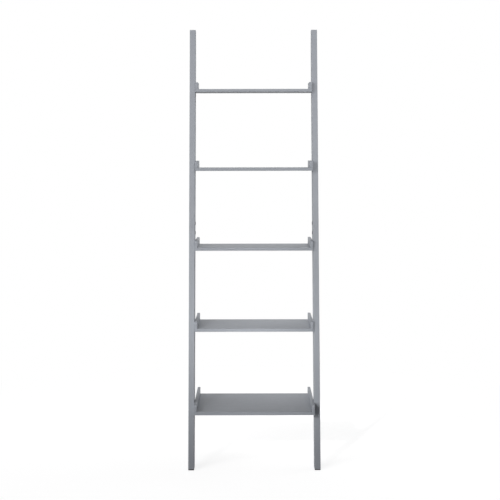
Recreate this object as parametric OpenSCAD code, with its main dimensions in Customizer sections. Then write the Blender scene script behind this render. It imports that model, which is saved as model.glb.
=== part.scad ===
// Ladder shelf: two rails lean back to a wall and carry five boards, each with a cheek at both ends.
// +X is to the right, +Y is towards the wall and +Z is up. The origin is on the floor, half way between
// the wall and the front of the bottom board, in the middle of the width.

/* [Overall] */
// Width across the outer faces of the rails
overall_w = 560; // [460:10:800]
// Height from the floor to the top of the rails
overall_h = 1880; // [1840:10:1900]
// Lean of the rails, in degrees from plumb
lean = 10; // [9.4:0.1:10.2]

/* [Rails] */
// Width of a rail, seen from the front
rail_w = 25; // [22:1:32]
// Thickness of a rail, from its front face to its back face
rail_t = 67; // [60:1:75]
// Radius of a rail's long edges
rail_edge_r = 2; // [1:0.5:4]
// Height of the plumb face at the top of a rail, which lies on the wall
wall_face_h = 100; // [80:5:130]
// Length of the lower half of a rail, along its front face
joint_at = 1035; // [1015:1:1050]
// Thickness of a foot pad
pad_t = 5; // [3:0.5:8]

/* [Shelves] */
// Height of the bottom board's top face
bottom_shelf_h = 250; // [230:5:270]
// Rise from the bottom board to the second
first_rise = 339; // [330:1:350]
// Rise from each higher board to the next
rise = 343; // [335:1:350]
// Thickness of a board
board_t = 13; // [10:1:18]
// Radius of a board's front edges
board_edge_r = 1.5; // [0.5:0.5:3]
// Depth of the bottom board
depth_1 = 385; // [370:5:400]
// Depth of the second board
depth_2 = 285; // [285:1:300]
// Depth of the middle board
depth_3 = 228; // [224:1:240]
// Depth of the fourth board
depth_4 = 190; // [180:5:205]
// Depth of the top board
depth_5 = 115; // [110:5:140]

/* [Cheeks] */
// Thickness of a cheek
cheek_t = 12; // [12:1:16]
// Height of a cheek above its board
cheek_h = 30; // [28:1:40]
// Radius of a cheek's front top corner
cheek_r = 8; // [3:1:15]

/* [Hidden] */
$fn = 96;
TIERS = 5;
SIDES = ["left", "right"];

paint = "#9ca0a7";
zinc = "#c3c5c8";
dark_zinc = "#4a4c50";
beech = "#cda877";
rubber = "#3a3a3c";

shelf_d = [depth_1, depth_2, depth_3, depth_4, depth_5];
shelf_z = [for (i = [0 : TIERS - 1]) bottom_shelf_h + (i == 0 ? 0 : first_rise + (i - 1) * rise)];

wall_y = depth_1 / 2;
inner_x = overall_w / 2 - rail_w;
rail_level_t = rail_t / cos(lean);
foot_front_y = wall_y - rail_level_t - (overall_h - wall_face_h) * tan(lean);

// Gap round a piece that lies loose in its hole or pocket
gap = 0.25;
// Gap round a piece that is driven or pressed into its hole
slack = 0.02;

// Shelf bolts: countersunk, through a cheek and into a threaded insert in the rail
bolt_r = 3;
bolt_head_r = 6;
bolt_head_h = 3;
bolt_socket_r = 2.3;
bolt_socket_h = 2.4;
bolt_len = 26;
bolt_spacing = 32;
insert_r = 4.75;
insert_len = 15;
insert_hole_len = 16;
bolt_h = cheek_h / 2;

// Cheek screws: countersunk, up through the board and into the cheek
screw_r = 2;
screw_head_r = 4;
screw_head_h = 2.4;
screw_len = 30;
screw_from_back = 15;
screw_from_front = 15;
screw_tip_len = 3;
screw_tip_r = 0.6;
deep_cheek = 240;
middle_screw_share = 0.32;

// Rail joint: cams in the inner face, a double-ended bolt between them and a dowel on each side of it
cam_r = 7.5;
cam_len = 13;
cam_proud = 2;
cam_from_joint = 21;
cam_bolt_x = 8;
cam_throat = 3;
joint_bolt_r = 3;
joint_bolt_head_r = 3.6;
joint_bolt_head_len = 3;
joint_bolt_hole_r = 3.75;
dowel_r = 4;
dowel_len = 36;
dowel_from_middle = 20;

// Hanger plates: let into the plumb face, with a keyhole for the head of a wall screw
plate_w = 16;
plate_h = 56;
plate_t = 1.5;
plate_inset = 0.5;
plate_z = overall_h - wall_face_h / 2;
plate_screw_r = 1.75;
plate_screw_head_r = 3;
plate_screw_head_h = 1.2;
plate_screw_len = 14;
plate_screw_from_middle = 22;
keyhole_r = 5;
keyhole_slot_r = 2.5;
keyhole_rise = 13;
head_pocket_r = 6;
head_pocket_t = 8;

// ---- Places ----

function rail_front_y(z) = foot_front_y + z * tan(lean);
function bolt_ys(i) = let (middle = rail_front_y(shelf_z[i] + bolt_h) + rail_level_t / 2)
    [middle - bolt_spacing / 2, middle + bolt_spacing / 2];
function screw_ys(i) = concat(
    [wall_y - screw_from_back, wall_y - shelf_d[i] + screw_from_front],
    shelf_d[i] > deep_cheek ? [wall_y - shelf_d[i] * middle_screw_share] : []
);

// Children drawn on the right are mirrored for the left
module on_side(side) {
    if (side == "left") mirror([1, 0, 0]) children();
    else children();
}

// Along the rail: z runs up its front face from the floor, y goes in from that face
module along_rail() {
    translate([0, foot_front_y, 0]) rotate([-lean, 0, 0]) children();
}

// At the middle of the rail joint
module at_joint() {
    along_rail() translate([inner_x, rail_t / 2, joint_at]) children();
}

// At each bolt of the cheek on one tier, on the inner face of the right-hand rail, pointing into the rail
module at_bolts(i) {
    for (y = bolt_ys(i)) translate([inner_x, y, shelf_z[i] + bolt_h]) rotate([0, 90, 0]) children();
}

// At each cheek screw of one tier, on the underside of the board's right-hand end
module at_screws(i) {
    for (y = screw_ys(i)) translate([inner_x - cheek_t / 2, y, shelf_z[i] - board_t]) children();
}

// At the middle of a hanger plate's outer face, pointing into the rail
module at_hanger() {
    translate([overall_w / 2 - rail_w / 2, wall_y - plate_inset, plate_z]) rotate([90, 0, 0]) children();
}

// At each screw of a hanger plate
module at_plate_screws() {
    for (s = [-1, 1]) translate([0, s * plate_screw_from_middle, 0]) children();
}

// Turns a side profile, drawn with y as x and z as y, into a slab that is t thick along X
module slab(t) {
    rotate([90, 0, 90]) linear_extrude(t) children();
}

// A rectangle with round corners
module round_rect(w, d, r) {
    translate([r, 0]) square([w - 2 * r, d]);
    translate([0, r]) square([w, d - 2 * r]);
    for (x = [r, w - r], y = [r, d - r]) translate([x, y]) circle(r);
}

// A cross cut into the head of a screw or cam, down from z = 0 into the metal
module cross_slot(length, width, depth) {
    for (turn = [0, 90]) rotate(turn) translate([-length / 2, -width / 2, 0]) cube([length, width, depth]);
}

// ---- Rails ----

// A stretch of the right-hand rail between two distances along it, before its holes
module rail_bar(from, to) {
    intersection() {
        along_rail() translate([inner_x, 0, from]) linear_extrude(to - from)
            round_rect(rail_w, rail_t, rail_edge_r);
        translate([0, wall_y - 2 * depth_1, pad_t])
            cube([overall_w, 2 * depth_1, overall_h - pad_t]);
    }
}

// What is cut from both halves of a rail for its joint: the cam holes, the bolt's hole and the dowel holes
module joint_cuts() {
    at_joint() {
        for (s = [-1, 1]) translate([0, 0, s * cam_from_joint]) rotate([0, 90, 0])
            cylinder(h = cam_len + gap, r = cam_r);
        translate([cam_bolt_x, 0, -cam_from_joint])
            cylinder(h = 2 * cam_from_joint, r = joint_bolt_hole_r);
        for (s = [-1, 1]) translate([rail_w / 2, s * dowel_from_middle, -dowel_len / 2 - 1])
            cylinder(h = dowel_len + 2, r = dowel_r);
    }
}

module insert_holes() {
    for (i = [0 : TIERS - 1]) at_bolts(i) cylinder(h = insert_hole_len, r = insert_r);
}

module hanger_pocket() {
    at_hanger() {
        translate([-plate_w / 2 - gap, -plate_h / 2 - gap, -2 * plate_inset])
            cube([plate_w + 2 * gap, plate_h + 2 * gap, 2 * plate_inset + plate_t]);
        cylinder(h = plate_t + head_pocket_t, r = head_pocket_r);
        translate([0, keyhole_rise, 0]) cylinder(h = plate_t + head_pocket_t, r = head_pocket_r);
        translate([-head_pocket_r, 0, 0])
            cube([2 * head_pocket_r, keyhole_rise, plate_t + head_pocket_t]);
        at_plate_screws() cylinder(h = plate_screw_len, r = plate_screw_r);
    }
}

module rail_lower(side) {
    color(paint) on_side(side) difference() {
        rail_bar(-rail_t, joint_at);
        joint_cuts();
        insert_holes();
    }
}

module rail_upper(side) {
    color(paint) on_side(side) difference() {
        rail_bar(joint_at, overall_h + rail_t);
        joint_cuts();
        insert_holes();
        hanger_pocket();
    }
}

module foot_pad(side) {
    color(rubber) on_side(side) translate([inner_x + gap, rail_front_y(pad_t) + gap, 0])
        linear_extrude(pad_t) round_rect(rail_w - 2 * gap, rail_level_t - 2 * gap, rail_edge_r);
}

// ---- Shelves ----

module shelf_board(i) {
    front = wall_y - shelf_d[i];
    color(paint) difference() {
        translate([-inner_x, 0, shelf_z[i] - board_t]) slab(2 * inner_x) {
            translate([front + board_edge_r, 0]) square([shelf_d[i] - board_edge_r, board_t]);
            translate([front, board_edge_r]) square([board_edge_r, board_t - 2 * board_edge_r]);
            for (z = [board_edge_r, board_t - board_edge_r])
                translate([front + board_edge_r, z]) circle(board_edge_r);
        }
        for (side = SIDES) on_side(side) at_screws(i) {
            cylinder(h = board_t, r = screw_r + gap);
            cylinder(h = screw_head_h + gap, r1 = screw_head_r + gap, r2 = screw_r + gap);
        }
    }
}

// A cheek stands on the end of its board and has a round corner at the front
module cheek(side, i) {
    front = wall_y - shelf_d[i];
    color(paint) on_side(side) difference() {
        translate([inner_x - cheek_t, 0, shelf_z[i]]) slab(cheek_t) {
            translate([front + cheek_r, 0]) square([shelf_d[i] - cheek_r, cheek_h]);
            translate([front, 0]) square([cheek_r, cheek_h - cheek_r]);
            translate([front + cheek_r, cheek_h - cheek_r]) circle(cheek_r);
        }
        at_bolts(i) translate([0, 0, -cheek_t]) {
            cylinder(h = cheek_t, r = bolt_r + gap);
            cylinder(h = bolt_head_h + gap, r1 = bolt_head_r + gap, r2 = bolt_r + gap);
        }
        at_screws(i) cylinder(h = screw_len, r = screw_r);
    }
}

// ---- Fasteners ----

module shelf_bolts() {
    color(zinc) for (side = SIDES, i = [0 : TIERS - 1]) on_side(side) at_bolts(i)
        translate([0, 0, -cheek_t]) difference() {
            union() {
                cylinder(h = bolt_head_h, r1 = bolt_head_r, r2 = bolt_r);
                cylinder(h = bolt_len, r = bolt_r - slack);
            }
            cylinder(h = bolt_socket_h, r = bolt_socket_r, $fn = 6);
        }
}

module rail_inserts() {
    color(zinc) for (side = SIDES, i = [0 : TIERS - 1]) on_side(side) at_bolts(i)
        difference() {
            cylinder(h = insert_len, r = insert_r - slack);
            cylinder(h = insert_len, r = bolt_r);
        }
}

module cheek_screws() {
    color(zinc) for (side = SIDES, i = [0 : TIERS - 1]) on_side(side) at_screws(i)
        difference() {
            union() {
                cylinder(h = screw_head_h, r1 = screw_head_r, r2 = screw_r);
                cylinder(h = screw_len - screw_tip_len - 1, r = screw_r - slack);
                translate([0, 0, screw_len - screw_tip_len - 1])
                    cylinder(h = screw_tip_len, r1 = screw_r - slack, r2 = screw_tip_r);
            }
            cross_slot(4, 0.8, 1.6);
        }
}

// A cam is a drum that stands a little proud, with a cross slot in its face and a throat that takes the head
// of the joint bolt
module joint_cams() {
    color(dark_zinc) for (side = SIDES, s = [-1, 1]) on_side(side) at_joint()
        translate([0, 0, s * cam_from_joint]) difference() {
            translate([-cam_proud, 0, 0]) rotate([0, 90, 0])
                cylinder(h = cam_len + cam_proud, r = cam_r - slack);
            translate([cam_bolt_x, 0, s > 0 ? -cam_r : -cam_throat])
                cylinder(h = cam_r + cam_throat, r = joint_bolt_hole_r);
            translate([-cam_proud, 0, 0]) rotate([0, 90, 0]) cross_slot(7, 1.2, 2);
        }
}

module joint_bolts() {
    color(zinc) for (side = SIDES) on_side(side) at_joint() translate([cam_bolt_x, 0, 0]) {
        translate([0, 0, -cam_from_joint]) cylinder(h = 2 * cam_from_joint, r = joint_bolt_r);
        for (s = [-1, 1]) translate([0, 0, s * (cam_from_joint - 1) - joint_bolt_head_len / 2])
            cylinder(h = joint_bolt_head_len, r = joint_bolt_head_r);
    }
}

module joint_dowels() {
    color(beech) for (side = SIDES, s = [-1, 1]) on_side(side) at_joint()
        translate([rail_w / 2, s * dowel_from_middle, -dowel_len / 2])
            cylinder(h = dowel_len, r = dowel_r - slack);
}

module hanger_plate(side) {
    color(zinc) on_side(side) at_hanger() difference() {
        translate([-plate_w / 2, -plate_h / 2, 0]) linear_extrude(plate_t) round_rect(plate_w, plate_h, 2);
        cylinder(h = plate_t, r = keyhole_r);
        translate([0, keyhole_rise, 0]) cylinder(h = plate_t, r = keyhole_slot_r);
        translate([-keyhole_slot_r, 0, 0]) cube([2 * keyhole_slot_r, keyhole_rise, plate_t]);
        at_plate_screws() cylinder(h = plate_t, r1 = plate_screw_head_r, r2 = plate_screw_r);
    }
}

module hanger_screws() {
    color(zinc) for (side = SIDES) on_side(side) at_hanger() at_plate_screws() {
        cylinder(h = plate_screw_head_h, r1 = plate_screw_head_r - gap, r2 = plate_screw_r - slack);
        cylinder(h = plate_screw_len - 1, r = plate_screw_r - slack);
    }
}

// ---- What is drawn ----

for (side = SIDES) {
    rail_lower(side);
    rail_upper(side);
    foot_pad(side);
    hanger_plate(side);
}
for (i = [0 : TIERS - 1]) {
    shelf_board(i);
    for (side = SIDES)
        cheek(side, i);
}
shelf_bolts();
rail_inserts();
cheek_screws();
joint_cams();
joint_bolts();
joint_dowels();
hanger_screws();
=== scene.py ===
import math

import bmesh
import bpy
import numpy as np
from mathutils import Matrix, Vector


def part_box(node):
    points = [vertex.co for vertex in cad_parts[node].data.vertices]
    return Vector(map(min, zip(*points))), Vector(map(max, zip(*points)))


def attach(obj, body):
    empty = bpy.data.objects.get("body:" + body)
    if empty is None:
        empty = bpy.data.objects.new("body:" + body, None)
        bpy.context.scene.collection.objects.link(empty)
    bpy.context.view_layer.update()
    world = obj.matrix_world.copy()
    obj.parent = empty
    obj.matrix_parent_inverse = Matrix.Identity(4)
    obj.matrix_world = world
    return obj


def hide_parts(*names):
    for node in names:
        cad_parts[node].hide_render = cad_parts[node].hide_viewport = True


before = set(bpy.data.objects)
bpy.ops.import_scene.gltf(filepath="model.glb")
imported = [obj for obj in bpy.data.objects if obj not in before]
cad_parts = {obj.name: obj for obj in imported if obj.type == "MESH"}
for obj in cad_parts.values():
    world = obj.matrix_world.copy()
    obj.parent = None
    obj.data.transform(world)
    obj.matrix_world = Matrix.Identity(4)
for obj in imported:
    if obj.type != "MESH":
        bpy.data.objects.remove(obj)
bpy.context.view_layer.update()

bl_info = {
    "name": "Ladder Shelf",
    "version": (1, 0, 0),
    "blender": (4, 5, 0),
    "location": "3D Viewport > Sidebar > Ladder Shelf",
    "description": "Dresses a five-tier shelf that leans on a wall: painted timber, feet and fastenings",
    "category": "Object",
}

SIDES = ("left", "right")
TIERS = range(1, 6)
MM = 0.001
# Corners that are closer together than this are one corner
HAIR = 0.002 * MM
# An outer face lies no further inside the outermost plane of its direction than this
FLUSH = 0.02 * MM
# Faces that meet at less than this were one flat face
FLAT_BEND = math.radians(0.4)
# Outer faces that meet at more than this have an arris between them
ARRIS_BEND = math.radians(45)
# Faces that meet at more than this keep a hard edge between them
HARD_BEND = math.radians(35)
# Faces look the same way when the dot product of their normals is at least this
SAME_WAY = 0.9995


def linear(hex_colour):
    """Linear RGBA of an sRGB colour such as "9ca0a7"."""
    srgb = [int(hex_colour[i:i + 2], 16) / 255 for i in (0, 2, 4)]
    return tuple(c / 12.92 if c <= 0.04045 else ((c + 0.055) / 1.055) ** 2.4 for c in srgb) + (1.0,)


# ---- Sizes and colours that a user may change ----


class LadderShelfTimber(bpy.types.PropertyGroup):
    """Paint and broken edges of the rails, boards and cheeks"""

    paint: bpy.props.FloatVectorProperty(
        name="Paint", description="Colour of the lacquer on all the timber",
        subtype="COLOR", size=4, min=0, max=1, default=linear("9ca0a7"))
    worn_paint: bpy.props.FloatVectorProperty(
        name="Worn paint", description="Colour that the lacquer fades to along its edges",
        subtype="COLOR", size=4, min=0, max=1, default=linear("a8acb2"))
    rail_arris: bpy.props.FloatProperty(
        name="Rail arris", description="Width of the rounding round the ends of a rail",
        subtype="DISTANCE", unit="LENGTH", min=0.2 * MM, max=1.5 * MM, default=0.8 * MM)
    board_arris: bpy.props.FloatProperty(
        name="Board arris", description="Width of the rounding along the ends and the back of a board",
        subtype="DISTANCE", unit="LENGTH", min=0.2 * MM, max=1.2 * MM, default=0.6 * MM)
    cheek_arris: bpy.props.FloatProperty(
        name="Cheek arris", description="Width of the rounding along a cheek's edges",
        subtype="DISTANCE", unit="LENGTH", min=0.2 * MM, max=2 * MM, default=1.0 * MM)


class LadderShelfFeet(bpy.types.PropertyGroup):
    """Rubber and tread of the foot pads"""

    rubber: bpy.props.FloatVectorProperty(
        name="Rubber", description="Colour of the foot pads",
        subtype="COLOR", size=4, min=0, max=1, default=linear("3a3a3c"))
    corner: bpy.props.FloatProperty(
        name="Corner", description="Radius of a pad's upright corners",
        subtype="DISTANCE", unit="LENGTH", min=0.5 * MM, max=4 * MM, default=2 * MM)
    rib_pitch: bpy.props.FloatProperty(
        name="Rib pitch", description="Distance from one tread rib to the next",
        subtype="DISTANCE", unit="LENGTH", min=3 * MM, max=10 * MM, default=5 * MM)
    rib_width: bpy.props.FloatProperty(
        name="Rib width", description="Width of a tread rib",
        subtype="DISTANCE", unit="LENGTH", min=1 * MM, max=6 * MM, default=3 * MM)
    rib_height: bpy.props.FloatProperty(
        name="Rib height", description="Height of the tread under a pad",
        subtype="DISTANCE", unit="LENGTH", min=0.4 * MM, max=2 * MM, default=1 * MM)


class LadderShelfFastenings(bpy.types.PropertyGroup):
    """Sizes and plating of the bolts, screws, cams and hanger plates"""

    zinc: bpy.props.FloatVectorProperty(
        name="Zinc", description="Colour of the plated steel",
        subtype="COLOR", size=4, min=0, max=1, default=linear("c3c5c8"))
    dark_zinc: bpy.props.FloatVectorProperty(
        name="Dark zinc", description="Colour of the blackened cams",
        subtype="COLOR", size=4, min=0, max=1, default=linear("4a4c50"))
    facets: bpy.props.IntProperty(
        name="Facets", description="Number of sides round a turned shape", min=12, max=48, default=28)
    bolt_head: bpy.props.FloatProperty(
        name="Bolt head", description="Radius of a shelf bolt's countersunk head",
        subtype="DISTANCE", unit="LENGTH", min=4 * MM, max=8 * MM, default=6 * MM)
    bolt_socket: bpy.props.FloatProperty(
        name="Bolt socket", description="Radius of the hexagon socket, over its corners",
        subtype="DISTANCE", unit="LENGTH", min=1 * MM, max=3 * MM, default=2.3 * MM)
    screw_head: bpy.props.FloatProperty(
        name="Screw head", description="Radius of a cheek screw's countersunk head",
        subtype="DISTANCE", unit="LENGTH", min=3 * MM, max=5 * MM, default=4 * MM)
    cam: bpy.props.FloatProperty(
        name="Cam", description="Radius of a joint cam",
        subtype="DISTANCE", unit="LENGTH", min=5 * MM, max=8 * MM, default=7.48 * MM)
    plate_arris: bpy.props.FloatProperty(
        name="Plate arris", description="Width of the rounding round a hanger plate",
        subtype="DISTANCE", unit="LENGTH", min=0.05 * MM, max=0.5 * MM, default=0.25 * MM)


class LadderShelfStage(bpy.types.PropertyGroup):
    """Camera, lamps and floor"""

    lens: bpy.props.FloatProperty(
        name="Lens", description="Focal length on a 36 mm sensor",
        subtype="DISTANCE_CAMERA", unit="CAMERA", min=20, max=200, default=83.2)
    upper_key: bpy.props.FloatProperty(
        name="Upper key", description="Power of the spotlight in front of the upper boards",
        subtype="POWER", unit="POWER", min=0, max=5000, default=1000)
    lower_key: bpy.props.FloatProperty(
        name="Lower key", description="Power of the spotlight from the left on the lower boards",
        subtype="POWER", unit="POWER", min=0, max=5000, default=2900)
    overhead: bpy.props.FloatProperty(
        name="Overhead", description="Power of the softbox above the shelf",
        subtype="POWER", unit="POWER", min=0, max=500, default=17)
    left_fill: bpy.props.FloatProperty(
        name="Left fill", description="Strength of the wide fill from the front left", min=0, max=10,
        default=1.42)
    right_fill: bpy.props.FloatProperty(
        name="Right fill", description="Strength of the wide fill from the right and behind", min=0,
        max=10, default=0.65)
    ambient: bpy.props.FloatProperty(
        name="Ambient", description="Strength of the light that comes from all round",
        min=0, max=2, default=0.14)


GROUPS = (
    ("ladder_shelf_timber", LadderShelfTimber),
    ("ladder_shelf_feet", LadderShelfFeet),
    ("ladder_shelf_fastenings", LadderShelfFastenings),
    ("ladder_shelf_stage", LadderShelfStage),
)


# ---- Nodes and finishes ----


def add(tree, kind, values=None, links=None, **settings):
    """Adds a node to a tree, with its settings, the values of its sockets and the outputs that feed them."""
    node = tree.nodes.new(kind)
    for key, value in settings.items():
        setattr(node, key, value)
    for key, value in (values or {}).items():
        node.inputs[key].default_value = value
    for key, source in (links or {}).items():
        for one in source if isinstance(source, list) else [source]:
            tree.links.new(one, node.inputs[key])
    return node


def new_finish(name, fill):
    """A material whose tree is filled in from the place of each point on the object."""
    finish = bpy.data.materials.new(name)
    finish.use_nodes = True
    tree = finish.node_tree
    tree.nodes.clear()
    fill(tree, add(tree, "ShaderNodeTexCoord").outputs["Object"])
    return finish


def surfaced(tree, colour, rough, height, strength, swell, **body):
    """Ends a material's tree. Swell is how far a height of 1 stands out, and body is the surface's other
    values."""
    relief = add(tree, "ShaderNodeBump", {"Strength": strength, "Distance": swell}, {"Height": height})
    skin = add(tree, "ShaderNodeBsdfPrincipled", body,
               {"Base Color": colour, "Roughness": rough, "Normal": relief.outputs["Normal"]})
    add(tree, "ShaderNodeOutputMaterial", links={"Surface": skin.outputs[0]})


def seen_as_white(tree):
    """The output that is 1 for rays from the camera, a gloss or a see-through surface, and else 0."""
    rays = add(tree, "ShaderNodeLightPath").outputs
    seen = rays["Is Camera Ray"]
    for kind in ("Is Glossy Ray", "Is Transmission Ray"):
        seen = add(tree, "ShaderNodeMath", links={0: seen, 1: rays[kind]}, operation="MAXIMUM").outputs[0]
    return seen


def satin_lacquer(tree, place):
    """Sprayed polyurethane lacquer on timber."""
    # Two coats sprayed and left to flow: an even blue-grey with a low satin sheen, a faint orange peel
    # that only breaks up the sheen, and arrises where the coat is thinner and has rubbed a little paler.
    timber = bpy.context.scene.ladder_shelf_timber
    # Shade drifts by a percent or two over a hand's breadth, as sprayed coats overlap
    drift = add(tree, "ShaderNodeTexNoise", {"Scale": 1 / (90 * MM), "Detail": 1.5, "Roughness": 0.4},
                {"Vector": place})
    deep = tuple(c * 0.965 for c in timber.paint[:3]) + (1.0,)
    coat = add(tree, "ShaderNodeMix", {6: deep, 7: timber.paint}, {0: drift.outputs["Fac"]},
               data_type="RGBA")
    # Rubbed stretches along the arrises, each about 40 mm long
    rubbed = add(tree, "ShaderNodeTexNoise", {"Scale": 1 / (40 * MM), "Detail": 3, "Roughness": 0.6},
                 {"Vector": place})
    arris = add(tree, "ShaderNodeAttribute", attribute_name="arris")
    spots = add(tree, "ShaderNodeMapRange", {"From Min": 0.45, "From Max": 0.7, "To Max": 0.8},
                {"Value": rubbed.outputs["Fac"]})
    wear = add(tree, "ShaderNodeMath", links={0: spots.outputs["Result"], 1: arris.outputs["Fac"]},
               operation="MULTIPLY")
    colour = add(tree, "ShaderNodeMix", {7: timber.worn_paint},
                 {0: wear.outputs[0], 6: coat.outputs[2]}, data_type="RGBA")
    # Sheen varies over patches of about 25 mm, where hands and dust have dulled it
    dull = add(tree, "ShaderNodeTexNoise", {"Scale": 1 / (25 * MM), "Detail": 2, "Roughness": 0.5},
               {"Vector": place})
    sheen = add(tree, "ShaderNodeMapRange",
                {"From Min": 0.3, "From Max": 0.7, "To Min": 0.49, "To Max": 0.56},
                {"Value": dull.outputs["Fac"]})
    # Orange peel of a sprayed coat: swells about 2 mm across and two hundredths of a millimetre high
    peel = add(tree, "ShaderNodeTexNoise", {"Scale": 1 / (2.2 * MM), "Detail": 1, "Roughness": 0.4},
               {"Vector": place})
    surfaced(tree, colour.outputs[2], sheen.outputs["Result"], peel.outputs["Fac"],
             strength=0.2, swell=0.02 * MM, IOR=1.5)


def moulded_rubber(tree, place):
    """Compression-moulded black rubber."""
    # Dark grey rather than black, nearly without gloss, with a fine stipple from the mould and dust
    # that greys it in patches.
    rubber = bpy.context.scene.ladder_shelf_feet.rubber
    dust = add(tree, "ShaderNodeTexNoise", {"Scale": 1 / (9 * MM), "Detail": 4, "Roughness": 0.65},
               {"Vector": place})
    greyed = add(tree, "ShaderNodeMapRange", {"From Min": 0.45, "From Max": 0.8, "To Max": 0.35},
                 {"Value": dust.outputs["Fac"]})
    colour = add(tree, "ShaderNodeMix", {6: rubber, 7: linear("6c6b69")}, {0: greyed.outputs["Result"]},
                 data_type="RGBA")
    rough = add(tree, "ShaderNodeMapRange", {"To Min": 0.68, "To Max": 0.85},
                {"Value": dust.outputs["Fac"]})
    # Mould stipple: grains of about 0.5 mm
    stipple = add(tree, "ShaderNodeTexNoise", {"Scale": 1 / (0.5 * MM), "Detail": 1}, {"Vector": place})
    surfaced(tree, colour.outputs[2], rough.outputs["Result"], stipple.outputs["Fac"],
             strength=0.5, swell=0.05 * MM, IOR=1.52)


def zinc_plated_steel(tree, place):
    """Bright zinc plate on turned or stamped steel."""
    # A pale metal with a bluish cast, half bright, clouded by the passivation and finely grained.
    zinc = bpy.context.scene.ladder_shelf_fastenings.zinc
    cloud = add(tree, "ShaderNodeTexNoise", {"Scale": 1 / (4 * MM), "Detail": 3, "Roughness": 0.6},
                {"Vector": place})
    colour = add(tree, "ShaderNodeMix", {6: zinc, 7: linear("9fa4ab")}, {0: cloud.outputs["Fac"]},
                 data_type="RGBA")
    rough = add(tree, "ShaderNodeMapRange", {"To Min": 0.26, "To Max": 0.46},
                {"Value": cloud.outputs["Fac"]})
    # Tool marks and crystals of about 0.3 mm
    grain = add(tree, "ShaderNodeTexNoise", {"Scale": 1 / (0.3 * MM), "Detail": 2}, {"Vector": place})
    surfaced(tree, colour.outputs[2], rough.outputs["Result"], grain.outputs["Fac"],
             strength=0.3, swell=0.01 * MM, Metallic=1.0)


def blackened_zinc_casting(tree, place):
    """Die-cast zinc, barrel-finished and blackened."""
    # A dark grey metal with a dull gleam, a granular skin from the die and bare metal on the high spots.
    zinc = bpy.context.scene.ladder_shelf_fastenings.dark_zinc
    # High spots rubbed in the barrel, about 1.5 mm across
    skin = add(tree, "ShaderNodeTexNoise", {"Scale": 1 / (1.5 * MM), "Detail": 3, "Roughness": 0.6},
               {"Vector": place})
    bare = add(tree, "ShaderNodeMapRange", {"From Min": 0.62, "From Max": 0.8, "To Max": 0.5},
               {"Value": skin.outputs["Fac"]})
    colour = add(tree, "ShaderNodeMix", {6: zinc, 7: linear("85878b")}, {0: bare.outputs["Result"]},
                 data_type="RGBA")
    rough = add(tree, "ShaderNodeMapRange", {"To Min": 0.58, "To Max": 0.42},
                {"Value": skin.outputs["Fac"]})
    # Granules of the cast skin, about 0.4 mm
    grain = add(tree, "ShaderNodeTexNoise", {"Scale": 1 / (0.4 * MM), "Detail": 2}, {"Vector": place})
    surfaced(tree, colour.outputs[2], rough.outputs["Result"], grain.outputs["Fac"],
             strength=0.4, swell=0.03 * MM, Metallic=1.0)


def turned_beech(tree, place):
    """Beech dowel, turned and left bare."""
    # Warm pale wood with short dark flecks along its length and no polish.
    # Flecks are 0.6 mm wide and 5 mm long, and run upright, as the dowels nearly do
    along = add(tree, "ShaderNodeMapping", {"Scale": (1 / (0.6 * MM), 1 / (0.6 * MM), 1 / (5 * MM))},
                {"Vector": place})
    fleck = add(tree, "ShaderNodeTexNoise", {"Scale": 1.0, "Detail": 3}, {"Vector": along.outputs[0]})
    colour = add(tree, "ShaderNodeMix", {6: linear("b98f5e"), 7: linear("d6b488")},
                 {0: fleck.outputs["Fac"]}, data_type="RGBA")
    rough = add(tree, "ShaderNodeMapRange", {"To Min": 0.6, "To Max": 0.75}, {"Value": fleck.outputs["Fac"]})
    surfaced(tree, colour.outputs[2], rough.outputs["Result"], fleck.outputs["Fac"],
             strength=0.3, swell=0.05 * MM, IOR=1.5)


def studio_paper(tree, place):
    """Matt white paper sweep."""
    # Background paper lit to white, which keeps a soft shadow under the shelf and fades to plain white
    # two metres off. It throws little light back up at the foot of the shelf and more from further off.
    distance = add(tree, "ShaderNodeVectorMath", links={0: place}, operation="LENGTH")
    fade = add(tree, "ShaderNodeMapRange", {"From Min": 0.6, "From Max": 2.2},
               {"Value": distance.outputs["Value"]}, interpolation_type="SMOOTHSTEP")
    tone = add(tree, "ShaderNodeMix", {6: linear("6c6c6c"), 7: linear("d8d8d8")},
               {0: fade.outputs["Result"]}, data_type="RGBA")
    thrown = add(tree, "ShaderNodeBsdfDiffuse", {"Roughness": 0.6}, {"Color": tone.outputs[2]})
    shaded = add(tree, "ShaderNodeBsdfDiffuse", {"Color": linear("a8a8a8"), "Roughness": 0.6})
    lift = add(tree, "ShaderNodeEmission", {"Strength": 0.84})
    near = add(tree, "ShaderNodeAddShader", links={0: shaded.outputs[0], 1: lift.outputs[0]})
    far = add(tree, "ShaderNodeEmission", {"Strength": 1.0})
    white = add(tree, "ShaderNodeMixShader",
                links={0: fade.outputs["Result"], 1: near.outputs[0], 2: far.outputs[0]})
    which = add(tree, "ShaderNodeMixShader",
                links={0: seen_as_white(tree), 1: thrown.outputs[0], 2: white.outputs[0]})
    add(tree, "ShaderNodeOutputMaterial", links={"Surface": which.outputs[0]})


# The finish of each material slot: its name, and what fills in its tree
FINISHES = {
    "grey_paint": ("satin polyurethane lacquer on timber", satin_lacquer),
    "rubber": ("moulded rubber", moulded_rubber),
    "zinc": ("zinc plated steel", zinc_plated_steel),
    "dark_zinc": ("blackened zinc casting", blackened_zinc_casting),
    "beech": ("turned beech", turned_beech),
}


def finish_of(slot):
    """The material of a slot, which is made the first time that it is asked for."""
    name, fill = FINISHES[slot]
    return bpy.data.materials.get(name) or new_finish(name, fill)


# ---- Shapes ----


def new_piece(name, mesh, finish):
    """A mesh as an object at the origin, with its finish."""
    piece = bpy.data.objects.new(name, mesh)
    bpy.context.scene.collection.objects.link(piece)
    mesh.materials.clear()
    mesh.materials.append(finish)
    return piece


def hand_over(piece, node):
    """Puts a piece, once it is a plain mesh, on the shelf's one body in the place of its CAD node."""
    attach(piece, "root")
    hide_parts(node)


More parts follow.
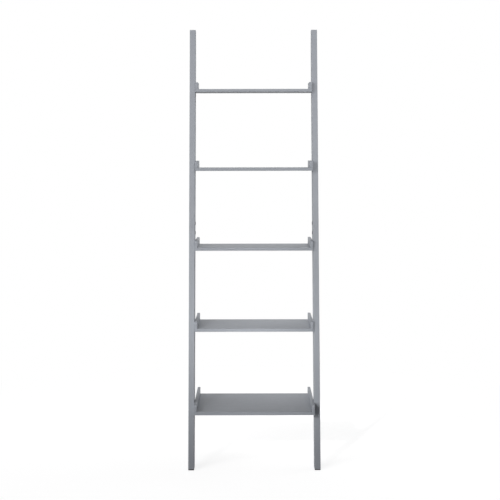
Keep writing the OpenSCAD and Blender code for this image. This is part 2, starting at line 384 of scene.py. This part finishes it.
def settle(piece):
    """Turns a piece's modifiers into a plain mesh, which keeps the piece's finish."""
    graph = bpy.context.evaluated_depsgraph_get()
    mesh = bpy.data.meshes.new_from_object(piece.evaluated_get(graph), preserve_all_data_layers=True,
                                           depsgraph=graph)
    mesh.name = piece.name
    piece.modifiers.clear()
    piece.data = mesh


def joined(node):
    """A copy of a CAD node's triangles as one closed surface."""
    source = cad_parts[node].data
    shape = bmesh.new()
    corners = [shape.verts.new(v.co) for v in source.vertices]
    for face in source.polygons:
        shape.faces.new([corners[i] for i in face.vertices])
    bmesh.ops.remove_doubles(shape, verts=shape.verts, dist=HAIR)
    return shape


def solids(node, count):
    """The lowest and highest corner of each separate solid in a CAD node, which holds count of them."""
    shape = joined(node)
    left = set(shape.verts)
    boxes = []
    while left:
        todo = [left.pop()]
        island = []
        while todo:
            here = todo.pop()
            island.append(here.co.copy())
            for edge in here.link_edges:
                there = edge.other_vert(here)
                if there in left:
                    left.remove(there)
                    todo.append(there)
        boxes.append(tuple(Vector(pick(co[i] for co in island) for i in range(3)) for pick in (min, max)))
    shape.free()
    if len(boxes) != count:
        raise RuntimeError(f"{node}: {len(boxes)} solids were found, not {count}")
    return sorted(boxes, key=lambda box: tuple(round(c, 5) for c in box[0]))


def outer_faces(shape):
    """The faces on the outside of a shape that was convex before its holes were made."""
    points = np.array([v.co for v in shape.verts])
    normals = np.array([f.normal for f in shape.faces])
    reach = np.array([f.normal.dot(f.verts[0].co) for f in shape.faces])
    outermost = np.max(normals @ points.T, axis=1)
    return {f for f, r, m in zip(shape.faces, reach, outermost) if m - r < FLUSH}


def break_edges(node, name, slot, width, flat):
    """Replaces a CAD node by its shape with the outer edges rounded over. Where the outer faces that look
    one way come to less than flat, in square millimetres, they are a rounding and carry the arris mark."""
    shape = joined(node)
    bmesh.ops.dissolve_limit(shape, angle_limit=FLAT_BEND, use_dissolve_boundaries=False,
                             verts=shape.verts, edges=shape.edges, delimit=set())
    shape.faces.ensure_lookup_table()
    outside = outer_faces(shape)
    edges = [e for e in shape.edges if len(e.link_faces) == 2
             and all(f in outside for f in e.link_faces) and e.calc_face_angle() > ARRIS_BEND]
    bmesh.ops.bevel(shape, geom=edges, offset=width, offset_type="OFFSET", segments=3, profile=0.5,
                    affect="EDGES", clamp_overlap=False)
    # Where roundings meet at a slant, the bevel leaves corners on top of each other
    bmesh.ops.remove_doubles(shape, verts=shape.verts, dist=HAIR)
    shape.faces.ensure_lookup_table()
    outside = outer_faces(shape)
    area = {}
    for face in outside:
        way = tuple(round(c, 2) for c in face.normal)
        area[way] = area.get(way, 0) + face.calc_area() / MM ** 2
    flats = [Vector(way).normalized() for way, total in area.items() if total > flat]
    marks = []
    for face in shape.faces:
        face.smooth = True
        rounded = face in outside and all(face.normal.dot(way) < SAME_WAY for way in flats)
        marks.extend([float(rounded)] * len(face.verts))
    for edge in shape.edges:
        edge.smooth = len(edge.link_faces) == 2 and edge.calc_face_angle() < HARD_BEND
    mesh = bpy.data.meshes.new(name)
    shape.to_mesh(mesh)
    shape.free()
    mesh.attributes.new("arris", "FLOAT", "CORNER").data.foreach_set("value", marks)
    piece = new_piece(name, mesh, finish_of(slot))
    piece.modifiers.new("Even shading", "WEIGHTED_NORMAL").keep_sharp = True
    settle(piece)
    hand_over(piece, node)


def new_tree(name, sizes):
    """A Geometry Nodes tree with named inputs. Sizes are lengths, and whole numbers are counts."""
    tree = bpy.data.node_groups.new(name, "GeometryNodeTree")
    tree.interface.new_socket("Geometry", in_out="OUTPUT", socket_type="NodeSocketGeometry")
    tree.interface.new_socket("Geometry", in_out="INPUT", socket_type="NodeSocketGeometry")
    for title, value in sizes.items():
        whole = isinstance(value, int)
        socket = tree.interface.new_socket(
            title, in_out="INPUT", socket_type="NodeSocketInt" if whole else "NodeSocketFloat")
        socket.default_value = value
        if not whole:
            socket.subtype = "DISTANCE"
    tree.interface.new_socket("Finish", in_out="INPUT", socket_type="NodeSocketMaterial")
    return tree, add(tree, "NodeGroupInput").outputs


def grow(node, name, slot, points, tree, sizes):
    """Replaces a CAD node by what a tree makes on points, with its sizes."""
    finish = finish_of(slot)
    piece = new_piece(name, points, finish)
    growth = piece.modifiers.new(name, "NODES")
    growth.node_group = tree
    wanted = dict(sizes, Finish=finish)
    for item in tree.interface.items_tree:
        if item.item_type == "SOCKET" and item.in_out == "INPUT" and item.name in wanted:
            growth[item.identifier] = wanted[item.name]
    settle(piece)
    if not piece.data.polygons:
        raise RuntimeError(f"{name}: the tree made nothing")
    hand_over(piece, node)


def inner_end(low, high):
    """The middle of the face of a box that is nearest the shelf's middle, and the way from it to the rail."""
    x = min(low.x, high.x, key=abs)
    middle = (low + high) / 2
    return Vector((x, middle.y, middle.z)), Vector((math.copysign(1, x), 0, 0))


def seats(places):
    """A mesh of points with the way that a fastening drives in at each, and the way that it is turned."""
    mesh = bpy.data.meshes.new("seats")
    mesh.from_pydata([place for place, aim, turn in places], [], [])
    for title, column in (("aim", 1), ("turn", 2)):
        flat = [c for place in places for c in place[column]]
        mesh.attributes.new(title, "FLOAT_VECTOR", "POINT").data.foreach_set("vector", flat)
    return mesh


def turned_profile(tree, first, steps):
    """Builds a turned solid upwards from a cone. Each step is how far it rises and its new radius."""
    shape, top, radius = first
    up = add(tree, "ShaderNodeCombineXYZ", {"Z": 1.0})
    for rise, wider in steps:
        raised = add(tree, "GeometryNodeExtrudeMesh", {"Individual": False},
                     {"Mesh": shape, "Selection": top, "Offset": up.outputs[0], "Offset Scale": rise},
                     mode="FACES")
        ratio = add(tree, "ShaderNodeMath", links={0: wider, 1: radius}, operation="DIVIDE")
        sized = add(tree, "GeometryNodeScaleElements",
                    links={"Geometry": raised.outputs["Mesh"], "Selection": raised.outputs["Top"],
                           "Scale": ratio.outputs[0]}, domain="FACE")
        shape, top, radius = sized.outputs[0], raised.outputs["Top"], wider
    return shape


def adding_up(tree, sockets, shares):
    """The output that adds up named sizes of a tree, each times its share."""
    total = None
    for title, share in shares.items():
        links = {0: sockets[title]}
        if total is not None:
            links[2] = total
        total = add(tree, "ShaderNodeMath", {1: share, 2: 0.0}, links, operation="MULTIPLY_ADD").outputs[0]
    return total


def cross_cutters(tree, sockets):
    """Two crossing bars, which cut a cross recess."""
    depth = adding_up(tree, sockets, {"Recess depth": 2})
    bars = []
    for along, across in (("X", "Y"), ("Y", "X")):
        size = add(tree, "ShaderNodeCombineXYZ",
                   links={along: sockets["Recess width"], across: sockets["Slot width"], "Z": depth})
        bars.append(add(tree, "GeometryNodeMeshCube", links={"Size": size.outputs[0]}).outputs["Mesh"])
    return bars


def copied_to_seats(tree, sockets, shape, turns=None):
    """Puts a copy of the shape at each point, turned if there are turns, and ends the tree."""
    links = {"Points": sockets["Geometry"], "Instance": shape}
    if turns is not None:
        links["Rotation"] = turns
    copies = add(tree, "GeometryNodeInstanceOnPoints", links=links)
    real = add(tree, "GeometryNodeRealizeInstances", links={"Geometry": copies.outputs[0]})
    finished = add(tree, "GeometryNodeSetMaterial",
                   links={"Geometry": real.outputs[0], "Material": sockets["Finish"]})
    add(tree, "NodeGroupOutput", links={"Geometry": finished.outputs[0]})
    return tree


def driven_home(tree, sockets, shape, cutters, spin):
    """Turns a shape over so that its top is at the seat and its foot drives in, cuts and shades it, and puts
    a copy at each seat, at that seat's turn plus at most spin."""
    down = add(tree, "ShaderNodeCombineXYZ", links={"Z": adding_up(tree, sockets, {"Length": -1})})
    lowered = add(tree, "GeometryNodeTransform", links={"Geometry": shape, "Translation": down.outputs[0]})
    turned = add(tree, "GeometryNodeTransform", {"Rotation": (math.pi, 0, 0)},
                 {"Geometry": lowered.outputs[0]})
    # The two bars of a cross recess overlap, so the cut allows for cutters that cross each other
    cut = add(tree, "GeometryNodeMeshBoolean", {"Self Intersection": True},
              {"Mesh 1": turned.outputs[0], "Mesh 2": cutters}, operation="DIFFERENCE", solver="EXACT")
    clean = add(tree, "GeometryNodeMergeByDistance", {"Distance": HAIR}, {"Geometry": cut.outputs["Mesh"]})
    smooth = add(tree, "GeometryNodeSetShadeSmooth", links={"Geometry": clean.outputs[0]}, domain="FACE")
    bend = add(tree, "GeometryNodeInputMeshEdgeAngle")
    hard = add(tree, "FunctionNodeCompare", {1: HARD_BEND}, {0: bend.outputs["Unsigned Angle"]},
               operation="GREATER_THAN")
    shaded = add(tree, "GeometryNodeSetShadeSmooth", {"Shade Smooth": False},
                 {"Geometry": smooth.outputs[0], "Selection": hard.outputs[0]}, domain="EDGE")
    aim = add(tree, "GeometryNodeInputNamedAttribute", {"Name": "aim"}, data_type="FLOAT_VECTOR")
    turn = add(tree, "GeometryNodeInputNamedAttribute", {"Name": "turn"}, data_type="FLOAT_VECTOR")
    driven = add(tree, "FunctionNodeAlignRotationToVector", links={"Vector": aim.outputs["Attribute"]},
                 axis="Z")
    held = add(tree, "FunctionNodeAlignRotationToVector",
               links={"Rotation": driven.outputs[0], "Vector": turn.outputs["Attribute"]}, axis="X",
               pivot_axis="Z")
    # Screws come to rest at chance angles, and a cam, which has to face its joint, at its own turn
    angle = add(tree, "FunctionNodeRandomValue", {2: 0.0, 3: spin, "Seed": 7}, data_type="FLOAT")
    about = add(tree, "FunctionNodeAxisAngleToRotation", {"Axis": (0, 0, 1)}, {"Angle": angle.outputs[1]})
    spun = add(tree, "FunctionNodeRotateRotation",
               links={"Rotation": held.outputs[0], "Rotate By": about.outputs[0]}, rotation_space="LOCAL")
    return copied_to_seats(tree, sockets, shaded.outputs[0], spun.outputs[0])


def countersunk_tree(name, sizes, hexagon):
    """A countersunk screw with a hexagon socket, whose recess width is its radius, or a cross recess."""
    tree, sockets = new_tree(name, sizes)
    shank, head = sockets["Shank radius"], sockets["Head radius"]
    tip = add(tree, "GeometryNodeMeshCone", {"Side Segments": 1, "Fill Segments": 1},
              {"Vertices": sockets["Facets"], "Radius Top": shank, "Radius Bottom": sockets["Tip radius"],
               "Depth": sockets["Tip length"]})
    # The top 8 % of the head is its bevelled rim
    rim = 0.08
    shape = turned_profile(tree, (tip.outputs["Mesh"], tip.outputs["Top"], shank), [
        (adding_up(tree, sockets, {"Length": 1, "Tip length": -1, "Head height": -1}), shank),
        (adding_up(tree, sockets, {"Head height": 1 - rim}), head),
        (adding_up(tree, sockets, {"Head height": rim}), adding_up(tree, sockets, {"Head radius": 0.96})),
    ])
    if not hexagon:
        return driven_home(tree, sockets, shape, cross_cutters(tree, sockets), math.pi / 2)
    socket = add(tree, "GeometryNodeMeshCylinder", {"Vertices": 6, "Side Segments": 1, "Fill Segments": 1},
                 {"Radius": sockets["Recess width"], "Depth": adding_up(tree, sockets, {"Recess depth": 2})})
    return driven_home(tree, sockets, shape, [socket.outputs["Mesh"]], math.pi / 3)


def cam_tree(name, sizes):
    """A joint cam: a drum with a sunk face, a cross recess and a throat for the joint bolt."""
    tree, sockets = new_tree(name, sizes)
    radius = sockets["Radius"]
    drum = add(tree, "GeometryNodeMeshCone", {"Side Segments": 1, "Fill Segments": 1},
               {"Vertices": sockets["Facets"], "Radius Top": radius, "Radius Bottom": radius,
                "Depth": adding_up(tree, sockets, {"Length": 1, "Rim": -1})})
    # Inside the bevelled rim is a nearly flat ring, a tenth of the face wide, and then the sunk face
    ring, face = 0.9, 0.88
    shape = turned_profile(tree, (drum.outputs["Mesh"], drum.outputs["Top"], radius), [
        (sockets["Rim"], adding_up(tree, sockets, {"Radius": 1, "Rim": -1})),
        (adding_up(tree, sockets, {"Rim": 0.02}), adding_up(tree, sockets, {"Radius": ring, "Rim": -ring})),
        (adding_up(tree, sockets, {"Rim": -1}), adding_up(tree, sockets, {"Radius": face, "Rim": -face})),
    ])
    # The throat runs from behind the middle out towards the joint, which is the way that X is turned
    bore = add(tree, "GeometryNodeMeshCylinder", {"Vertices": 20, "Side Segments": 1, "Fill Segments": 1},
               {"Radius": sockets["Throat radius"], "Depth": adding_up(tree, sockets, {"Radius": 1.6})})
    reach = add(tree, "ShaderNodeCombineXYZ",
                links={"X": adding_up(tree, sockets, {"Radius": 0.4}), "Z": sockets["Throat depth"]})
    throat = add(tree, "GeometryNodeTransform", {"Rotation": (0, math.pi / 2, 0)},
                 {"Geometry": bore.outputs["Mesh"], "Translation": reach.outputs[0]})
    return driven_home(tree, sockets, shape, [*cross_cutters(tree, sockets), throat.outputs[0]], 0.0)


def pad_tree(name, sizes):
    """A foot pad: a slab with round corners on a row of tread ribs."""
    tree, sockets = new_tree(name, sizes)
    outline = add(tree, "GeometryNodeCurvePrimitiveQuadrilateral",
                  links={"Width": sockets["Width"], "Height": sockets["Depth"]}, mode="RECTANGLE")
    corners = add(tree, "GeometryNodeFilletCurve", {"Count": 5},
                  {"Curve": outline.outputs[0], "Radius": sockets["Corner"]}, mode="POLY")
    sheet = add(tree, "GeometryNodeFillCurve", links={"Curve": corners.outputs[0]}, mode="NGONS")
    up = add(tree, "ShaderNodeCombineXYZ", {"Z": 1.0})
    raised = add(tree, "GeometryNodeExtrudeMesh", {"Individual": False},
                 {"Mesh": sheet.outputs[0], "Offset": up.outputs[0],
                  "Offset Scale": adding_up(tree, sockets, {"Height": 1, "Rib height": -1})}, mode="FACES")
    under = add(tree, "GeometryNodeFlipFaces", links={"Mesh": sheet.outputs[0]})
    both = add(tree, "GeometryNodeJoinGeometry", links={0: [raised.outputs["Mesh"], under.outputs[0]]})
    closed = add(tree, "GeometryNodeMergeByDistance", {"Distance": HAIR}, {"Geometry": both.outputs[0]})
    lift = add(tree, "ShaderNodeCombineXYZ", links={"Z": sockets["Rib height"]})
    slab = add(tree, "GeometryNodeTransform",
               links={"Geometry": closed.outputs[0], "Translation": lift.outputs[0]})
    # As many ribs as fit between the corners, spread evenly about the middle
    room = adding_up(tree, sockets, {"Depth": 1, "Corner": -2})
    share = add(tree, "ShaderNodeMath", links={0: room, 1: sockets["Rib pitch"]}, operation="DIVIDE")
    count = add(tree, "ShaderNodeMath", links={0: share.outputs[0]}, operation="FLOOR")
    many = add(tree, "FunctionNodeFloatToInt", links={0: count.outputs[0]}, rounding_mode="ROUND")
    step = add(tree, "ShaderNodeCombineXYZ", links={"Y": sockets["Rib pitch"]})
    pitches = add(tree, "ShaderNodeMath", {1: -0.5, 2: 0.5}, {0: count.outputs[0]}, operation="MULTIPLY_ADD")
    back = add(tree, "ShaderNodeMath", links={0: pitches.outputs[0], 1: sockets["Rib pitch"]},
               operation="MULTIPLY")
    # A rib reaches a fifth of its height into the slab, so that the two join
    first = add(tree, "ShaderNodeCombineXYZ",
                links={"Y": back.outputs[0], "Z": adding_up(tree, sockets, {"Rib height": 0.6})})
    row = add(tree, "GeometryNodeMeshLine",
              links={"Count": many.outputs[0], "Start Location": first.outputs[0], "Offset": step.outputs[0]},
              mode="OFFSET")
    rib_size = add(tree, "ShaderNodeCombineXYZ",
                   links={"X": adding_up(tree, sockets, {"Width": 1, "Corner": -0.5}),
                          "Y": sockets["Rib width"], "Z": adding_up(tree, sockets, {"Rib height": 1.2})})
    rib = add(tree, "GeometryNodeMeshCube", links={"Size": rib_size.outputs[0]})
    ribs = add(tree, "GeometryNodeInstanceOnPoints",
               links={"Points": row.outputs[0], "Instance": rib.outputs["Mesh"]})
    whole = add(tree, "GeometryNodeJoinGeometry", links={0: [slab.outputs[0], ribs.outputs[0]]})
    return copied_to_seats(tree, sockets, whole.outputs[0])


# ---- Stage ----


def add_lamp(scene, name, lamp, place, aim):
    """Stands a lamp at its place and turns it to the point that it is aimed at."""
    holder = bpy.data.objects.new(name, lamp)
    holder.location = place
    holder.rotation_euler = (Vector(aim) - Vector(place)).to_track_quat("-Z", "Y").to_euler()
    scene.collection.objects.link(holder)


def light_up(scene):
    """Adds the lamps."""
    stage = scene.ladder_shelf_stage
    # Two spotlights, 0.6 m across, whose soft edges overlap half way up and leave the feet of the shelf in
    # half shade: where each stands, the point it is aimed at, the angle of its cone and how much of it fades
    for name, power, place, aim, cone, fade in (
        ("upper key", stage.upper_key, (0.9, -8.3, 3.4), (0, 0, 1.65), 14.25, 0.7),
        ("lower key", stage.lower_key, (-3.2, -7.8, 4.0), (0.03, 0, 0.5), 5.4, 1.0),
    ):
        lamp = bpy.data.lights.new(name, "SPOT")
        lamp.energy = power
        lamp.shadow_soft_size = 0.3
        lamp.spot_size = math.radians(cone)
        lamp.spot_blend = fade
        add_lamp(scene, name, lamp, place, aim)
    # Softbox above and behind the shelf
    lamp = bpy.data.lights.new("overhead softbox", "AREA")
    lamp.shape = "RECTANGLE"
    lamp.size, lamp.size_y = (1.4, 2.0)
    lamp.energy = stage.overhead
    add_lamp(scene, "overhead softbox", lamp, (0, 1.2, 3.6), (0, 0, 0.9))
    # Wide fills, which light the shelf evenly: only the way from the origin to each counts
    for name, strength, way in (
        ("left fill", stage.left_fill, (-0.6, -0.7, 0.2)),
        ("right fill", stage.right_fill, (0.9, 0.45, 0.35)),
    ):
        lamp = bpy.data.lights.new(name, "SUN")
        lamp.energy = strength
        lamp.angle = math.radians(40)
        add_lamp(scene, name, lamp, way, (0, 0, 0))


def surround(scene):
    """Adds the paper floor and the pale surroundings, which show as plain white."""
    reach = 9
    floor_mesh = bpy.data.meshes.new("floor")
    floor_mesh.from_pydata([(-reach, -reach, 0), (reach, -reach, 0), (reach, reach, 0), (-reach, reach, 0)],
                           [], [(0, 1, 2, 3)])
    new_piece("floor", floor_mesh, new_finish("studio paper", studio_paper))
    world = bpy.data.worlds.new("studio")
    world.use_nodes = True
    tree = world.node_tree
    tree.nodes.clear()
    around = add(tree, "ShaderNodeBackground",
                 {"Color": linear("fdfdff"), "Strength": scene.ladder_shelf_stage.ambient})
    white = add(tree, "ShaderNodeBackground", {"Color": linear("ffffff"), "Strength": 1.0})
    both = add(tree, "ShaderNodeMixShader",
               links={0: seen_as_white(tree), 1: around.outputs[0], 2: white.outputs[0]})
    add(tree, "ShaderNodeOutputWorld", links={"Surface": both.outputs[0]})
    scene.world = world


def add_camera(scene):
    """Adds the camera, at eye level in front of the shelf."""
    camera = bpy.data.cameras.new("camera")
    camera.sensor_width = 36
    camera.lens = scene.ladder_shelf_stage.lens
    camera.shift_y = -0.04
    eye = bpy.data.objects.new("camera", camera)
    scene.collection.objects.link(eye)
    # 5.19 m from the wall, tipped 3.8 degrees down from level, with a tenth of a degree of roll
    place, tip, roll = (-0.0167, -4.9939, 1.3396), 86.18, -0.11
    eye.matrix_world = (Matrix.Translation(place)
                        @ Matrix.Rotation(math.radians(tip), 4, "X")
                        @ Matrix.Rotation(math.radians(roll), 4, "Z"))
    scene.camera = eye
    scene.view_settings.view_transform = "Standard"


# ---- Operators ----


class LADDERSHELF_OT_stage(bpy.types.Operator):
    """Adds the floor, the lamps, the surroundings and the camera"""

    bl_idname = "ladder_shelf.stage"
    bl_label = "Stage"

    def execute(self, context):
        surround(context.scene)
        light_up(context.scene)
        add_camera(context.scene)
        return {"FINISHED"}


class LADDERSHELF_OT_rails(bpy.types.Operator):
    """Paints the four rail halves and rounds their ends"""

    bl_idname = "ladder_shelf.rails"
    bl_label = "Rails"

    def execute(self, context):
        timber = context.scene.ladder_shelf_timber
        for side in SIDES:
            for half in ("lower", "upper"):
                node = f"rail_{side}_{half}"
                break_edges(node, f"painted_{node}", "grey_paint", timber.rail_arris, flat=1200)
        return {"FINISHED"}


class LADDERSHELF_OT_boards(bpy.types.Operator):
    """Paints the five boards and rounds their ends"""

    bl_idname = "ladder_shelf.boards"
    bl_label = "Boards"

    def execute(self, context):
        timber = context.scene.ladder_shelf_timber
        for tier in TIERS:
            break_edges(f"shelf_board_{tier}", f"painted_board_{tier}", "grey_paint", timber.board_arris,
                        flat=1200)
        return {"FINISHED"}


class LADDERSHELF_OT_cheeks(bpy.types.Operator):
    """Paints the ten cheeks and rounds their edges"""

    bl_idname = "ladder_shelf.cheeks"
    bl_label = "Cheeks"

    def execute(self, context):
        timber = context.scene.ladder_shelf_timber
        for side in SIDES:
            for tier in TIERS:
                node = f"cheek_{side}_{tier}"
                break_edges(node, f"painted_{node}", "grey_paint", timber.cheek_arris, flat=100)
        return {"FINISHED"}


class LADDERSHELF_OT_feet(bpy.types.Operator):
    """Adds the ribbed rubber pads under the rails"""

    bl_idname = "ladder_shelf.feet"
    bl_label = "Foot pads"

    def execute(self, context):
        feet = context.scene.ladder_shelf_feet
        low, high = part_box("foot_pad_left")
        width, depth, height = high - low
        sizes = {"Width": width, "Depth": depth, "Height": height, "Corner": feet.corner,
                 "Rib pitch": feet.rib_pitch, "Rib width": feet.rib_width, "Rib height": feet.rib_height}
        tree = pad_tree("foot pad", sizes)
        for side in SIDES:
            node = f"foot_pad_{side}"
            low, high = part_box(node)
            foot = bpy.data.meshes.new("foot")
            foot.from_pydata([((low.x + high.x) / 2, (low.y + high.y) / 2, low.z)], [], [])
            grow(node, f"rubber_foot_{side}", "rubber", foot, tree, sizes)
        return {"FINISHED"}


class LADDERSHELF_OT_shelf_bolts(bpy.types.Operator):
    """Adds the bolts that hold the cheeks to the rails"""

    bl_idname = "ladder_shelf.shelf_bolts"
    bl_label = "Shelf bolts"

    def execute(self, context):
        fastenings = context.scene.ladder_shelf_fastenings
        places = [(*inner_end(low, high), (0, 0, 1)) for low, high in solids("shelf_bolts", 20)]
        sizes = {"Facets": fastenings.facets, "Head radius": fastenings.bolt_head, "Head height": 3 * MM,
                 "Shank radius": 2.98 * MM, "Length": 26 * MM, "Tip radius": 2.5 * MM, "Tip length": 0.6 * MM,
                 "Recess width": fastenings.bolt_socket, "Recess depth": 2.4 * MM}
        tree = countersunk_tree("hexagon socket bolt", sizes, True)
        grow("shelf_bolts", "countersunk_shelf_bolts", "zinc", seats(places), tree, sizes)
        return {"FINISHED"}


class LADDERSHELF_OT_cheek_screws(bpy.types.Operator):
    """Adds the screws that hold the boards to the cheeks"""

    bl_idname = "ladder_shelf.cheek_screws"
    bl_label = "Cheek screws"

    def execute(self, context):
        fastenings = context.scene.ladder_shelf_fastenings
        places = [(((low.x + high.x) / 2, (low.y + high.y) / 2, low.z), (0, 0, 1), (1, 0, 0))
                  for low, high in solids("cheek_screws", 24)]
        sizes = {"Facets": fastenings.facets, "Head radius": fastenings.screw_head, "Head height": 2.4 * MM,
                 "Shank radius": 1.98 * MM, "Length": 29 * MM, "Tip radius": 0.6 * MM, "Tip length": 3 * MM,
                 "Recess width": 4 * MM, "Slot width": 0.8 * MM, "Recess depth": 1.6 * MM}
        tree = countersunk_tree("cross recess screw", sizes, False)
        grow("cheek_screws", "countersunk_cheek_screws", "zinc", seats(places), tree, sizes)
        return {"FINISHED"}


class LADDERSHELF_OT_joint_cams(bpy.types.Operator):
    """Adds the cams that draw the two halves of each rail together"""

    bl_idname = "ladder_shelf.joint_cams"
    bl_label = "Joint cams"

    def execute(self, context):
        fastenings = context.scene.ladder_shelf_fastenings
        boxes = solids("joint_cams", 4)
        places = []
        for low, high in boxes:
            seat, into_rail = inner_end(low, high)
            # The joint is half way between the two cams of a rail
            pair = [(a + b) / 2 for a, b in boxes if (a.x > 0) == (seat.x > 0)]
            joint = sum(pair, Vector()) / len(pair)
            towards = Vector((0, joint.y - seat.y, joint.z - seat.z)).normalized()
            places.append((seat, into_rail, towards))
        # Each cam goes 13 mm into the rail and stands 2 mm proud of it
        sizes = {"Facets": 32, "Radius": fastenings.cam, "Length": 15 * MM, "Rim": 0.4 * MM,
                 "Recess width": 7 * MM, "Slot width": 1.2 * MM, "Recess depth": 2 * MM,
                 "Throat radius": 3.75 * MM, "Throat depth": 10 * MM}
        tree = cam_tree("joint cam", sizes)
        grow("joint_cams", "rail_joint_cams", "dark_zinc", seats(places), tree, sizes)
        return {"FINISHED"}


class LADDERSHELF_OT_hangers(bpy.types.Operator):
    """Adds the keyhole plates at the backs of the rails, with their screws"""

    bl_idname = "ladder_shelf.hangers"
    bl_label = "Hanger plates"

    def execute(self, context):
        fastenings = context.scene.ladder_shelf_fastenings
        for side in SIDES:
            node = f"hanger_plate_{side}"
            break_edges(node, f"stamped_{node}", "zinc", fastenings.plate_arris, flat=60)
        places = [(((low.x + high.x) / 2, high.y, (low.z + high.z) / 2), (0, -1, 0), (1, 0, 0))
                  for low, high in solids("hanger_screws", 4)]
        sizes = {"Facets": fastenings.facets, "Head radius": 2.75 * MM, "Head height": 1.2 * MM,
                 "Shank radius": 1.73 * MM, "Length": 13 * MM, "Tip radius": 0.4 * MM, "Tip length": 2.5 * MM,
                 "Recess width": 3 * MM, "Slot width": 0.7 * MM, "Recess depth": 0.9 * MM}
        tree = countersunk_tree("plate screw", sizes, False)
        grow("hanger_screws", "plate_screws", "zinc", seats(places), tree, sizes)
        return {"FINISHED"}


class LADDERSHELF_OT_inner_fittings(bpy.types.Operator):
    """Finishes the inserts, joint bolts and dowels inside the timber"""

    bl_idname = "ladder_shelf.inner_fittings"
    bl_label = "Inner fittings"

    def execute(self, context):
        for node, slot in (("rail_inserts", "zinc"), ("joint_bolts", "zinc"), ("joint_dowels", "beech")):
            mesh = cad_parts[node].data
            for i in range(len(mesh.materials)):
                mesh.materials[i] = finish_of(slot)
            if not mesh.materials:
                mesh.materials.append(finish_of(slot))
        return {"FINISHED"}


OPERATORS = (
    LADDERSHELF_OT_stage,
    LADDERSHELF_OT_rails,
    LADDERSHELF_OT_boards,
    LADDERSHELF_OT_cheeks,
    LADDERSHELF_OT_feet,
    LADDERSHELF_OT_shelf_bolts,
    LADDERSHELF_OT_cheek_screws,
    LADDERSHELF_OT_joint_cams,
    LADDERSHELF_OT_hangers,
    LADDERSHELF_OT_inner_fittings,
)


class LADDERSHELF_PT_sidebar(bpy.types.Panel):
    """Lists the shelf's pieces, sizes and colours"""

    bl_idname = "LADDERSHELF_PT_sidebar"
    bl_label = "Ladder Shelf"
    bl_space_type = "VIEW_3D"
    bl_region_type = "UI"
    bl_category = "Ladder Shelf"

    def draw(self, context):
        for group_name, group in GROUPS:
            box = self.layout.box()
            box.label(text=group.__doc__)
            for prop in group.__annotations__:
                box.prop(getattr(context.scene, group_name), prop)
        for operator in OPERATORS:
            self.layout.operator(operator.bl_idname)


CLASSES = tuple(group for name, group in GROUPS) + OPERATORS + (LADDERSHELF_PT_sidebar,)


def register():
    """Adds the classes, and their groups of properties to every scene."""
    for cls in CLASSES:
        bpy.utils.register_class(cls)
    for name, group in GROUPS:
        setattr(bpy.types.Scene, name, bpy.props.PointerProperty(type=group))


def unregister():
    """Takes back what register added."""
    for name, group in GROUPS:
        delattr(bpy.types.Scene, name)
    for cls in reversed(CLASSES):
        bpy.utils.unregister_class(cls)


def main():
    """Builds the shelf and its stage."""
    register()
    bpy.ops.ladder_shelf.stage()
    bpy.ops.ladder_shelf.rails()
    bpy.ops.ladder_shelf.boards()
    bpy.ops.ladder_shelf.cheeks()
    bpy.ops.ladder_shelf.feet()
    bpy.ops.ladder_shelf.shelf_bolts()
    bpy.ops.ladder_shelf.cheek_screws()
    bpy.ops.ladder_shelf.joint_cams()
    bpy.ops.ladder_shelf.hangers()
    bpy.ops.ladder_shelf.inner_fittings()


if __name__ == "__main__":
    main()
